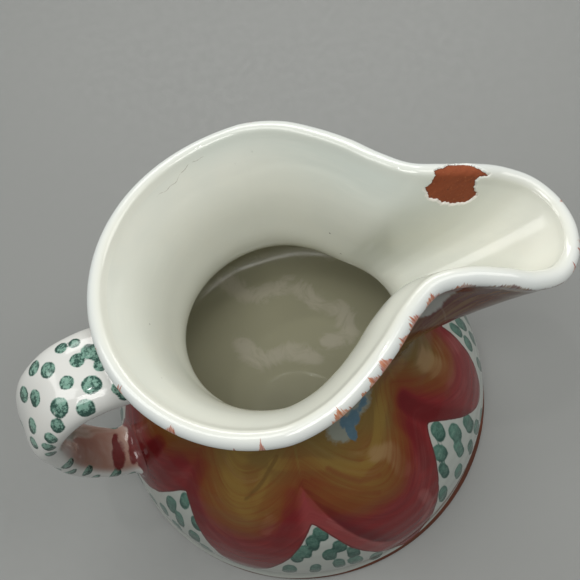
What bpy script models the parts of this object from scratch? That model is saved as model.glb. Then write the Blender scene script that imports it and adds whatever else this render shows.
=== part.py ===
"""Tin-glazed earthenware pitcher: a squat bell-shaped body thrown in one piece, with a flared mouth pulled
out into a pouring spout, a pulled strap handle luted on with two wads of clay, and the coats of glaze over
them, one chipped inside the spout.

Frame: metres, +Z up, origin at the centre of the flat underside, +X towards the spout.
"""

from math import atan2, copysign, cos, degrees, hypot, radians, sin

import bmesh
import bpy
from mathutils import Matrix, Vector

# Driving dimensions, in metres and degrees.
BODY_RADIUS = 0.0750  # the widest part, at the edge of the base
RIM_HEIGHT = 0.1126  # the round back of the rim
RIM_RADIUS = 0.0545
NECK_HEIGHT = 0.0695
NECK_RADIUS = 0.0385
WALL = 0.0040
GLAZE = 0.0005
GLAZE_GAP = 0.0002  # between a coat of glaze and the clay under it
BARE_FOOT = 0.0030  # height of the unglazed clay at the edge of the base
LIP_BAND = 0.0035  # how far the thick glaze of the lip runs down each side
FIT_GAP = 0.0003
LIP_CLEARANCE = 0.0005  # between the top of the clay and the glaze over it
AROUND = 60  # segments round the body
SECTION_POINTS = 16  # points round the strap

# The wall's outer side from the foot to the neck, as (share of the body radius, height).
BELLY = (
    (0.993, 0.0000),
    (1.000, 0.0010),
    (0.986, 0.0045),
    (0.972, 0.0150),
    (0.921, 0.0300),
    (0.808, 0.0460),
    (0.640, 0.0590),
)
# From the neck to the rim, as (radius, height).
FLARE = (
    (NECK_RADIUS, NECK_HEIGHT),
    (0.0399, 0.0850),
    (0.0455, 0.1010),
    (RIM_RADIUS, RIM_HEIGHT),
)

# Half of the spout's outline, from its tip back to the round rim, as (x, y, rise above the rim height).
SPOUT = (
    (0.0976, 0.0000, -0.0095),
    (0.0954, 0.0100, -0.0090),
    (0.0892, 0.0176, -0.0063),
    (0.0794, 0.0210, -0.0012),
    (0.0690, 0.0208, 0.0046),
    (0.0585, 0.0204, 0.0086),
    (0.0496, 0.0218, 0.0102),
    (0.0422, 0.0274, 0.0098),
    (0.0347, 0.0354, 0.0082),
    (0.0252, 0.0437, 0.0062),
    (0.0140, 0.0508, 0.0044),
    (0.0000, 0.0545, 0.0022),
)
SPOUT_LEAN = 0.0008  # the tip's drift to +Y
SPOUT_REACH = 90.0  # degrees of the rim, on either side of +X, that the spout takes up
SPOUT_FADE = 40.0  # degrees beyond it in which the rim comes down to its own height
SPOUT_START = 0.0500  # the height at which the wall starts to follow the spout
SPOUT_POWER = 1.15

# The handle was luted on a little to one side of the line opposite the spout.
HANDLE_AZIMUTH = 198.0
STRAP_WIDTH = 0.0250
STRAP_THICKNESS = 0.0108
# The strap's centre line in its own upright plane, as (distance from the body's axis, height, share of width).
HANDLE = (
    (0.0480, 0.1015, 1.10),
    (0.0596, 0.1054, 1.07),
    (0.0693, 0.1053, 1.03),
    (0.0776, 0.0995, 1.00),
    (0.0832, 0.0895, 0.95),
    (0.0842, 0.0765, 0.89),
    (0.0832, 0.0625, 0.82),
    (0.0796, 0.0490, 0.76),
    (0.0738, 0.0385, 0.72),
    (0.0660, 0.0300, 0.70),
)
UPPER_WAD = (0.0490, 0.1000)  # (distance from the axis, height) of the middle of the joint
UPPER_WAD_SIZE = (0.0100, 0.0170, 0.0090)
LOWER_WAD = (0.0690, 0.0345)
LOWER_WAD_SIZE = (0.0080, 0.0118, 0.0105)

CLAY = (0.42, 0.17, 0.09)
CREAM = (0.72, 0.71, 0.62)
LIP_WHITE = (0.86, 0.89, 0.88)
PAINTED = (0.45, 0.20, 0.12)


def named_collection(name):
    made = bpy.data.collections.new(name)
    bpy.context.scene.collection.children.link(made)
    return made


def make_material(name, colour, roughness):
    made = bpy.data.materials.new(name)
    made.use_nodes = True
    shader = made.node_tree.nodes["Principled BSDF"]
    shader.inputs["Base Color"].default_value = (*colour, 1)
    shader.inputs["Roughness"].default_value = roughness
    shader.inputs["Metallic"].default_value = 0
    return made


def smooth_path(points, per_span):
    """A Catmull-Rom curve through the points."""
    before = 2 * Vector(points[0]) - Vector(points[1])
    after = 2 * Vector(points[-1]) - Vector(points[-2])
    knots = [before, *(Vector(p) for p in points), after]
    path = []
    for p0, p1, p2, p3 in zip(knots, knots[1:], knots[2:], knots[3:]):
        for step in range(per_span):
            t = step / per_span
            cubic = 3 * p1 - p0 - 3 * p2 + p3
            path.append(p1 + 0.5 * ((p2 - p0) * t + (2 * p0 - 5 * p1 + 4 * p2 - p3) * t**2 + cubic * t**3))
    path.append(knots[-2])
    return path


def point_along(path, share):
    """The point at a share of a path's length."""
    spans = [(a, b, (b - a).length) for a, b in zip(path, path[1:])]
    left = share * sum(length for _, _, length in spans)
    for a, b, length in spans:
        if left <= length:
            return a.lerp(b, left / length)
        left -= length
    return path[-1].copy()


def ease(t):
    t = min(max(t, 0.0), 1.0)
    return t * t * (3 - 2 * t)


def wall_profile():
    """The outer side of the wall, foot to rim, as (radius, height)."""
    belly = [(share * BODY_RADIUS, height) for share, height in BELLY]
    path = [Vector(point) for point in belly + list(FLARE)]
    rim = path[-1]
    bare = path[1].lerp(path[2], (BARE_FOOT - path[1].y) / (path[2].y - path[1].y))
    return path[:2] + [bare] + path[2:-1] + [rim - LIP_BAND * (rim - path[-2]).normalized(), rim]


def spout_pull(x, y, outline):
    """How far the rim moves where the wheel left it at (x, y)."""
    turn = abs(degrees(atan2(y, x)))
    side = 1 if y >= 0 else -1
    if turn > SPOUT_REACH:
        gone = min((turn - SPOUT_REACH) / SPOUT_FADE, 1.0)
        return Vector((0, 0, outline[-1].z * (1 - gone) ** 2.7))
    drawn = point_along(outline, turn / SPOUT_REACH)
    round_x = RIM_RADIUS * cos(radians(turn))
    round_y = RIM_RADIUS * sin(radians(turn))
    lean = SPOUT_LEAN * (1 - turn / SPOUT_REACH)
    return Vector((drawn.x - round_x, lean + side * (drawn.y - round_y), drawn.z))


def pull_spout(mesh):
    """Draws the front of the mouth out into the spout. The wall below it follows less and less."""
    outline = smooth_path(SPOUT, 6)
    for vertex in mesh.vertices:
        x, y, z = vertex.co
        follows = ease((z - SPOUT_START) / (RIM_HEIGHT - SPOUT_START)) ** SPOUT_POWER
        if follows > 0 and hypot(x, y) > 0:
            vertex.co += follows * spout_pull(x, y, outline)


def turned(profile):
    """An open turned surface, facing out, from a profile of (radius, height) that runs from bottom to top."""
    outline = bpy.data.meshes.new("profile")
    points = [(radius, 0, height) for radius, height in reversed(profile)]
    outline.from_pydata(points, [(i, i + 1) for i in range(len(points) - 1)], [])
    holder = bpy.data.objects.new("profile", outline)
    bpy.context.scene.collection.objects.link(holder)
    screw = holder.modifiers.new("turn", "SCREW")
    screw.steps = AROUND
    screw.render_steps = AROUND
    screw.use_merge_vertices = True
    screw.merge_threshold = 0.00001
    mesh = evaluated_mesh(holder)
    bpy.data.objects.remove(holder)
    return mesh


def evaluated_mesh(piece):
    bpy.context.view_layer.update()
    return bpy.data.meshes.new_from_object(piece.evaluated_get(bpy.context.evaluated_depsgraph_get()))


def wall_skin(profile, lowest):
    """The wall's outer surface with the spout pulled, from a height up to the rim."""
    mesh = turned(profile)
    heights = [vertex.co.z for vertex in mesh.vertices]
    pull_spout(mesh)
    skin = bmesh.new()
    skin.from_mesh(mesh)
    outside = [v for v, z in zip(skin.verts, heights) if z < lowest - 1e-6]
    bmesh.ops.delete(skin, geom=outside, context="VERTS")
    skin.to_mesh(mesh)
    skin.free()
    return mesh


def add_piece(name, mesh, collection, material=None):
    piece = bpy.data.objects.new(name, mesh)
    collection.objects.link(piece)
    if material:
        mesh.materials.clear()
        mesh.materials.append(material)
        mesh.shade_smooth()
        mesh.set_sharp_from_angle(angle=radians(40))
    return piece


def add_cutter(name, mesh):
    piece = add_piece(name, mesh, cutters)
    piece.hide_render = True
    piece.display_type = "WIRE"
    return piece


def thicken(piece, outer, inner):
    """Gives an open skin a thickness between two distances from it, measured outwards."""
    solidify = piece.modifiers.new("thickness", "SOLIDIFY")
    solidify.thickness = outer - inner
    solidify.offset = (outer + inner) / (outer - inner)
    return piece


def cut(piece, *tools, solver="EXACT"):
    for tool in tools:
        boolean = piece.modifiers.new("cut " + tool.name, "BOOLEAN")
        boolean.operation = "DIFFERENCE"
        boolean.solver = solver
        boolean.object = tool
    return piece


def oval(name, width, thickness, collection):
    """A flat closed curve with the strap's section: a rounded oval, a little fuller than an ellipse."""
    data = bpy.data.curves.new(name, "CURVE")
    data.dimensions = "2D"
    spline = data.splines.new("POLY")
    spline.points.add(SECTION_POINTS - 1)
    spline.use_cyclic_u = True
    for i, point in enumerate(spline.points):
        turn = radians(360 * i / SECTION_POINTS)
        across = copysign(abs(cos(turn)) ** 0.85, cos(turn))
        through = copysign(abs(sin(turn)) ** 0.85, sin(turn))
        point.co = (across * width / 2, through * thickness / 2, 0, 1)
    section = bpy.data.objects.new(name, data)
    collection.objects.link(section)
    section.hide_render = True
    section.display_type = "WIRE"
    return section


def swept_strap(name, margin, collection, material=None, shortened=0):
    """The handle's strap as one solid, grown by a margin all round and shortened by a few points at each end."""
    section = oval(name + "_section", STRAP_WIDTH + 2 * margin, STRAP_THICKNESS + 2 * margin, cutters)
    path = smooth_path(HANDLE, 2)
    path = path[shortened:len(path) - shortened]
    data = bpy.data.curves.new(name, "CURVE")
    data.dimensions = "3D"
    data.bevel_mode = "OBJECT"
    data.bevel_object = section
    data.use_fill_caps = True
    data.twist_mode = "MINIMUM"
    spline = data.splines.new("POLY")
    spline.points.add(len(path) - 1)
    for point, place in zip(spline.points, path):
        point.co = (place.x, 0, place.y, 1)
        point.radius = place.z
    curve = bpy.data.objects.new(name, data)
    collection.objects.link(curve)
    mesh = evaluated_mesh(curve)
    bpy.data.objects.remove(curve)
    welded = bmesh.new()
    welded.from_mesh(mesh)
    bmesh.ops.remove_doubles(welded, verts=welded.verts, dist=0.00001)
    bmesh.ops.recalc_face_normals(welded, faces=welded.faces)
    welded.to_mesh(mesh)
    welded.free()
    mesh.transform(Matrix.Rotation(radians(HANDLE_AZIMUTH), 4, "Z"))
    if collection is cutters:
        return add_cutter(name, mesh)
    return add_piece(name, mesh, collection, material)


def wad(name, place, size, margin, collection, material=None):
    """A wad of clay pressed round one end of the strap: an ellipsoid until the cuts shape it."""
    mesh = bpy.data.meshes.new(name)
    ball = bmesh.new()
    bmesh.ops.create_uvsphere(ball, u_segments=24, v_segments=12, radius=1)
    ball.to_mesh(mesh)
    ball.free()
    scale = Matrix.Diagonal((size[0] + margin, size[1] + margin, size[2] + margin, 1))
    mesh.transform(Matrix.Translation((place[0], 0, place[1])) @ scale)
    mesh.transform(Matrix.Rotation(radians(HANDLE_AZIMUTH), 4, "Z"))
    if collection is cutters:
        return add_cutter(name, mesh)
    return add_piece(name, mesh, collection, material)


def lip_skin(rise, drop=0):
    """The outer surface of the lip band, carried on past the rim, and which points are on its lower edge."""
    upwards = (wall[-1] - wall[-2]).normalized()
    mesh = turned([wall[-2] - drop * upwards, wall[-1], wall[-1] + rise * upwards])
    lowest = min(vertex.co.z for vertex in mesh.vertices)
    lower_edge = {vertex.index for vertex in mesh.vertices if vertex.co.z < lowest + 1e-6}
    pull_spout(mesh)
    return mesh, lower_edge


def lip_coat(name, material):
    """The thick glaze over the lip: a skin folded over the top of the wall, open below, then thickened."""
    skin, lower_edge = lip_skin(LIP_CLEARANCE)
    fold = thicken(add_piece(name, skin, parts), GLAZE_GAP, inner_out)
    count = len(skin.vertices)
    folded = bmesh.new()
    folded.from_mesh(evaluated_mesh(fold))
    bottom = [face for face in folded.faces if all(v.index % count in lower_edge for v in face.verts)]
    bmesh.ops.delete(folded, geom=bottom, context="FACES")
    mesh = bpy.data.meshes.new(name)
    folded.to_mesh(mesh)
    folded.free()
    bpy.data.objects.remove(fold)
    coat = thicken(add_piece(name, mesh, parts, material), GLAZE, 0)
    coat.modifiers["thickness"].use_even_offset = True
    return coat


def plug(name, offset):
    """A cutter that fills the whole body out to a distance from its outer surface."""
    mesh = turned(full_profile)
    pull_spout(mesh)
    filled = bmesh.new()
    filled.from_mesh(mesh)
    filled.normal_update()
    for vertex in filled.verts:
        vertex.co += offset * vertex.normal
    bmesh.ops.holes_fill(filled, edges=filled.edges)
    bmesh.ops.recalc_face_normals(filled, faces=filled.faces)
    filled.to_mesh(mesh)
    filled.free()
    return add_cutter(name, mesh)


for leftover in list(bpy.data.objects):
    bpy.data.objects.remove(leftover, do_unlink=True)
parts = named_collection("ceramic_pitcher")
cutters = named_collection("cutters")
clay = make_material("fired_clay", CLAY, 0.85)
inside_white = make_material("inner_tin_glaze", CREAM, 0.12)
outside_white = make_material("painted_tin_glaze", PAINTED, 0.12)
lip_white = make_material("lip_tin_glaze", LIP_WHITE, 0.08)
handle_white = make_material("handle_tin_glaze", LIP_WHITE, 0.12)

wall = wall_profile()
full_profile = [(0, 0)] + wall

body = thicken(add_piece("clay_body", wall_skin(full_profile, 0), parts, clay), 0, -WALL)
inner_out = -WALL - GLAZE_GAP
inner = add_piece("inner_glaze", wall_skin(full_profile, 0), parts, inside_white)
thicken(inner, inner_out, inner_out - GLAZE)
outer = add_piece("outer_glaze", wall_skin(wall, BARE_FOOT), parts, outside_white)
thicken(outer, GLAZE_GAP + GLAZE, GLAZE_GAP)

lip_coat("lip_glaze", lip_white)
lip_clearance = add_cutter("lip_clearance", lip_skin(LIP_CLEARANCE + 3 * GLAZE, FIT_GAP)[0])
thicken(lip_clearance, GLAZE_GAP + GLAZE + FIT_GAP, inner_out - GLAZE - FIT_GAP)
cut(inner, lip_clearance)
cut(outer, lip_clearance)

clay_clearance = plug("clay_clearance", FIT_GAP)
strap_clearance = swept_strap("strap_clearance", FIT_GAP, cutters)
glaze_bore = swept_strap("glaze_bore", GLAZE_GAP, cutters)
strap = cut(swept_strap("handle_strap", 0, parts, clay), clay_clearance)
strap_glaze = swept_strap("handle_glaze", GLAZE_GAP + GLAZE, parts, handle_white, 1)
cut(strap_glaze, glaze_bore)
for end, place, size in (("upper", UPPER_WAD, UPPER_WAD_SIZE), ("lower", LOWER_WAD, LOWER_WAD_SIZE)):
    joint = wad(end + "_handle_joint", place, size, 0, parts, clay)
    cut(joint, strap_clearance, clay_clearance)
    if end == "upper":
        cut(joint, lip_clearance)
    joint_clearance = wad(end + "_joint_clearance", place, size, FIT_GAP, cutters)
    cut(strap_glaze, joint_clearance, solver="MANIFOLD")
    cut(outer, joint_clearance, solver="MANIFOLD")
glaze_clearance = plug("glaze_clearance", GLAZE_GAP + GLAZE + FIT_GAP)
cut(strap_glaze, glaze_clearance, solver="MANIFOLD")
cut(outer, strap_clearance, solver="MANIFOLD")
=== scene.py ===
"""The looks of the ceramic pitcher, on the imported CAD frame: hand-painted tin glaze over red clay.

The wall, the lip and the handle are dense formula-driven surfaces that follow the CAD solids. The painting is
laid out on them as fields (distances to brush strokes, in millimetres), which the materials turn into colour.
Frame: metres, +Z up, origin at the centre of the underside, +X towards the spout.
"""

from math import cos, pi, radians, sin, tau

import bmesh
import bpy
import numpy as np
from mathutils import Matrix, Vector
from mathutils.bvhtree import BVHTree


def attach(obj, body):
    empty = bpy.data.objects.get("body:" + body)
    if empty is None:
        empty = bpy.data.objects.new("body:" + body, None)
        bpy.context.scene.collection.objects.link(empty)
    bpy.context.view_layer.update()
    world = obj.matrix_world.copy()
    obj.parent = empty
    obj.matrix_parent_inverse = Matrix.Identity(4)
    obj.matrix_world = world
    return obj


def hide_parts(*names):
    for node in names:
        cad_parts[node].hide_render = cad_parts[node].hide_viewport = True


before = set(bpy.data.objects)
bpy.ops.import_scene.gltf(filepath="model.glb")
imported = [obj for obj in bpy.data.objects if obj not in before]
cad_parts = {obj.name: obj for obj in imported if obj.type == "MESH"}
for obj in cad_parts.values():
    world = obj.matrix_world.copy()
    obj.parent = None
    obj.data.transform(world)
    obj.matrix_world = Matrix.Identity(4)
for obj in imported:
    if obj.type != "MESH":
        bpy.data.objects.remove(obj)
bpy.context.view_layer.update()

# ---------------------------------------------------------------- the same driving dimensions as the CAD model
BODY_RADIUS = 0.0750
RIM_HEIGHT = 0.1126
RIM_RADIUS = 0.0545
NECK_HEIGHT = 0.0695
NECK_RADIUS = 0.0385
WALL = 0.0040
COAT = 0.0007  # the glaze and its gap to the clay
BELLY = (
    (0.993, 0.0000), (1.000, 0.0010), (0.986, 0.0045), (0.972, 0.0150),
    (0.921, 0.0300), (0.808, 0.0460), (0.640, 0.0590),
)
FLARE = ((NECK_RADIUS, NECK_HEIGHT), (0.0399, 0.0850), (0.0455, 0.1010), (RIM_RADIUS, RIM_HEIGHT))
SPOUT = (
    (0.0976, 0.0000, -0.0095), (0.0954, 0.0100, -0.0090), (0.0892, 0.0176, -0.0063),
    (0.0794, 0.0210, -0.0012), (0.0690, 0.0208, 0.0046), (0.0585, 0.0204, 0.0086),
    (0.0496, 0.0218, 0.0102), (0.0422, 0.0274, 0.0098), (0.0347, 0.0354, 0.0082),
    (0.0252, 0.0437, 0.0062), (0.0140, 0.0508, 0.0044), (0.0000, 0.0545, 0.0022),
)
SPOUT_LEAN = 0.0008
SPOUT_REACH = 90.0
SPOUT_FADE = 40.0
SPOUT_START = 0.0500
SPOUT_POWER = 1.15


# ---------------------------------------------------------------- curves and grids
def smooth_through(points, count, before=None, after=None):
    """Evenly stepped points on a smooth curve through the given ones, which may have others beyond them."""
    p = np.asarray(points, float)
    before = 2 * p[0] - p[1] if before is None else before
    after = 2 * p[-1] - p[-2] if after is None else after
    p = np.vstack([before, p, after])
    step = np.linalg.norm(np.diff(p, axis=0), axis=1)
    curve = []
    for i in range(1, len(p) - 2):
        d0, d1, d2 = step[i - 1], step[i], step[i + 1]
        a, b = p[i], p[i + 1]
        ta = ((a - p[i - 1]) / d0 * d1 + (b - a) / d1 * d0) / (d0 + d1) * d1
        tb = ((b - a) / d1 * d2 + (p[i + 2] - b) / d2 * d1) / (d1 + d2) * d1
        t = np.linspace(0, 1, 24, endpoint=i == len(p) - 3)[:, None]
        curve.append((2 * t**3 - 3 * t**2 + 1) * a + (t**3 - 2 * t**2 + t) * ta
                     + (3 * t**2 - 2 * t**3) * b + (t**3 - t**2) * tb)
    curve = np.vstack(curve)
    return along(curve, np.linspace(0, 1, count))


def run_length(line):
    """The length of a polyline up to each of its points."""
    return np.concatenate([[0], np.cumsum(np.linalg.norm(np.diff(line, axis=0), axis=1))])


def at_lengths(line, wanted):
    """Points at distances along a polyline."""
    length = run_length(line)
    return np.stack([np.interp(wanted, length, line[:, k]) for k in range(line.shape[1])], -1)


def along(line, shares):
    """Points at shares of a polyline's length."""
    return at_lengths(line, np.asarray(shares) * run_length(line)[-1])


def unit(vectors):
    return vectors / np.linalg.norm(vectors, axis=-1, keepdims=True)


def ease(t):
    t = np.clip(t, 0, 1)
    return t * t * (3 - 2 * t)


def pulled(x, y, z):
    """Where the pulled spout takes points of the thrown wall."""
    turn = np.abs(np.degrees(np.arctan2(y, x)))
    side = np.where(y >= 0, 1.0, -1.0)
    follows = ease((z - SPOUT_START) / (RIM_HEIGHT - SPOUT_START)) ** SPOUT_POWER
    drawn = along(OUTLINE, np.clip(turn / SPOUT_REACH, 0, 1))
    turned = np.radians(turn)
    front = turn <= SPOUT_REACH
    dx = np.where(front, drawn[..., 0] - RIM_RADIUS * np.cos(turned), 0)
    dy = np.where(front, SPOUT_LEAN * (1 - turn / SPOUT_REACH)
                  + side * (drawn[..., 1] - RIM_RADIUS * np.sin(turned)), 0)
    back = OUTLINE[-1, 2] * (1 - np.clip((turn - SPOUT_REACH) / SPOUT_FADE, 0, 1)) ** 2.7
    dz = np.where(front, drawn[..., 2], back)
    return np.stack([x + follows * dx, y + follows * dy, z + follows * dz], -1)


def grid_normals(points):
    """Outward normals of a grid whose rows go up and whose columns go round."""
    beside = np.roll(points, -1, 1) - np.roll(points, 1, 1)
    up = np.gradient(points, axis=0)
    normal = np.cross(beside, up)
    return normal / np.maximum(np.linalg.norm(normal, axis=-1, keepdims=True), 1e-12)


def wall_grid(azimuths, reach):
    """The clay's outer surface: a column for each azimuth, a row for each distance up from the foot."""
    turn = np.radians(np.broadcast_to(azimuths, reach.shape))
    radius = np.interp(reach, PROFILE_REACH, PROFILE[:, 0])
    height = np.interp(reach, PROFILE_REACH, PROFILE[:, 1])
    return pulled(radius * np.cos(turn), radius * np.sin(turn), height)


def ripple(*waves):
    """A sum of waves, as a stand-in for the unevenness of hand work: (amount, phase) pairs."""
    return sum(amount * np.sin(phase) for amount, phase in waves)


# Half of the mouth's outline, run on past both ends so that the halves and the round rim join smoothly.
OUTLINE = smooth_through(SPOUT, 400, before=(0.0954, -0.0100, -0.0090), after=(-0.0141, 0.05265, 0.0008))
PROFILE = smooth_through([(share * BODY_RADIUS, height) for share, height in BELLY] + list(FLARE), 900)
PROFILE_REACH = run_length(PROFILE)
RIM_REACH = PROFILE_REACH[-1]  # the length of the wall from foot to rim
THICK = WALL + 2 * COAT
LIP_TOP = 0.0010  # how far the lip's glaze stands over the end of the clay
LIP_ROUND = 0.0024  # height of the rounded part of the lip
LIP_TURN = 0.0040  # length over the glaze from the crest of the lip to the end of its rounding
LIP_OUTSIDE = 0.0072  # length over the glaze from the crest to the lower edge of the lip, outside
LIP_INSIDE = 0.0066
LIP_TO_WALL = 0.0165  # length over the glaze from the crest to where the rows inside grow wider apart
CHIP_SPAN = (22.0, 45.0)

# Columns all round, closer together where the glaze is chipped.
AZIMUTHS = np.concatenate([
    np.arange(-180, CHIP_SPAN[0], 0.75),
    np.arange(CHIP_SPAN[0], CHIP_SPAN[1], 0.2),
    np.arange(CHIP_SPAN[1], 180, 0.75),
])


def lip_section(over):
    """The glazed wall near the lip: rows at distances over the crest, negative outside and positive inside."""
    over = np.asarray(over)[:, None] + 0 * AZIMUTHS[None, :]
    reach = RIM_REACH - (LIP_ROUND - LIP_TOP) - np.maximum(np.abs(over) - LIP_TURN, 0)
    base = wall_grid(AZIMUTHS, reach)
    near_rim = wall_grid(AZIMUTHS, RIM_REACH + np.array([[-0.0012], [-0.0006], [0.0]]) + 0 * over[:1])
    up = unit(near_rim[2] - near_rim[0])
    out = grid_normals(near_rim)[2]
    below = wall_grid(AZIMUTHS, reach - 0.0006)
    side = unit(np.cross(np.roll(base, -1, 1) - np.roll(base, 1, 1), base - below))
    bend = np.clip(over / LIP_TURN, -1, 1)[..., None] * pi / 2
    roll = 0.00022 * np.exp(-(((np.abs(over) - LIP_TURN) / 0.0020) ** 2))[..., None]
    half = THICK / 2 + roll
    rise = up * (LIP_TOP - LIP_ROUND + LIP_ROUND * np.cos(bend))
    rounded = near_rim[2] + rise + out * (-WALL / 2 - half * np.sin(bend))
    straight = base + side * (-WALL / 2 - half * np.sign(bend))
    share = (np.abs(over) <= LIP_TURN)[..., None]
    return np.where(share, rounded, straight)


def offset_wall(reach, offset):
    """The wall at distances up from the foot, moved outwards by an offset. Both are grids."""
    base = wall_grid(AZIMUTHS, reach)
    above = wall_grid(AZIMUTHS, reach + 0.0004)
    side = unit(np.cross(np.roll(base, -1, 1) - np.roll(base, 1, 1), above - base))
    return base + side * np.asarray(offset)[..., None]


def grid_faces(rows, columns):
    """The four-sided faces of a grid that closes round its columns."""
    index = np.arange(rows * columns).reshape(rows, columns)
    beside = np.roll(index, -1, 1)
    return np.stack([index[:-1], beside[:-1], beside[1:], index[1:]], -1).reshape(-1, 4)


def grid_piece(name, points, material, fields=None, keep=None, first_fan=False, last_fan=False):
    """A mesh piece from a grid that closes round its columns. fields are named values at its points, keep says
    which points' faces stay, and a fan closes the first or last row to its middle."""
    rows, columns = points.shape[:2]
    faces = grid_faces(rows, columns)
    if keep is not None:
        faces = faces[keep.reshape(-1)[faces].all(1)]
    vertices = points.reshape(-1, 3)
    faces = faces.tolist()
    if first_fan:
        middle = len(vertices)
        vertices = np.vstack([vertices, points[0].mean(0)])
        faces += [(middle, (i + 1) % columns, i) for i in range(columns)]
    if last_fan:
        middle = len(vertices)
        vertices = np.vstack([vertices, points[-1].mean(0)])
        last = (rows - 1) * columns
        faces += [(middle, last + i, last + (i + 1) % columns) for i in range(columns)]
    mesh = bpy.data.meshes.new(name)
    mesh.from_pydata(vertices.tolist(), [], faces)
    for field, values in (fields or {}).items():
        values = np.asarray(values, np.float32)
        vector = values.ndim == 3
        flat = values.reshape(-1, 3) if vector else values.reshape(-1)
        if first_fan:
            flat = np.concatenate([flat, flat[:columns].mean(0, keepdims=True)])
        if last_fan:
            flat = np.concatenate([flat, flat[rows * columns - columns:rows * columns].mean(0, keepdims=True)])
        layer = mesh.attributes.new(field, "FLOAT_VECTOR" if vector else "FLOAT", "POINT")
        layer.data.foreach_set("vector" if vector else "value", flat.reshape(-1))
    if keep is not None:
        drop_loose(mesh)
    mesh.shade_smooth()
    piece = bpy.data.objects.new(name, mesh)
    bpy.context.scene.collection.objects.link(piece)
    mesh.materials.append(material)
    return piece


def drop_loose(mesh):
    work = bmesh.new()
    work.from_mesh(mesh)
    bmesh.ops.delete(work, geom=[v for v in work.verts if not v.link_faces], context="VERTS")
    work.to_mesh(mesh)
    work.free()


# ---------------------------------------------------------------- paint
# Azimuths are in degrees and heights in mm up the outside of the wall, measured over the glaze from the foot.
# The painted collar ends below in petals: where two petals meet, and the tip between each pair of meetings,
# with how sharply the petal closes on its two sides.
MEETINGS = ((-178, 47), (-135, 47.5), (-91.5, 46), (-40, 54), (-2.5, 56), (42, 48), (88, 52), (133, 46))
TIPS = (
    (-157, 24, 1.20, 1.25), (-116, 8.5, 1.30, 1.05), (-64, 3.0, 1.35, 1.55), (-18, 24.5, 1.40, 1.05),
    (20, 13, 1.30, 1.20), (64, 20, 1.10, 1.30), (111, 11, 1.25, 1.15), (157, 17, 1.30, 1.20),
)
# Inside each petal, where the crimson gives way to ochre.
OCHRE_MEETINGS = ((-178, 60), (-136, 61), (-92.5, 63), (-38, 71), (-3, 67), (42, 64), (88, 67), (133, 61))
OCHRE_TIPS = (
    (-159, 53, 1.10, 1.20), (-114, 38, 1.10, 1.10), (-67, 42, 1.15, 1.20), (-17, 51, 1.30, 1.10),
    (20, 42, 1.20, 1.10), (64, 50, 1.10, 1.20), (111, 41, 1.10, 1.10), (158, 47, 1.20, 1.10),
)
# The broad stroke along the left side of a petal that overlaps the rest of it.
FOLD_MEETINGS = ((-178, 60), (-135, 60), (-93, 62), (-40, 75), (-2.5, 70), (42, 62), (88, 65), (133, 60))
FOLD_TIPS = (
    (-157, 36, 1.2, 1.2), (-116, 22, 1.2, 1.2), (-62, 13.0, 1.25, 1.2), (-18, 36, 1.2, 1.2),
    (20, 25, 1.2, 1.2), (64, 30, 1.2, 1.2), (111, 22, 1.2, 1.2), (157, 28, 1.2, 1.2),
)
FOLDED = {2: 1.0, 5: 0.8, 7: 0.6}

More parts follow.
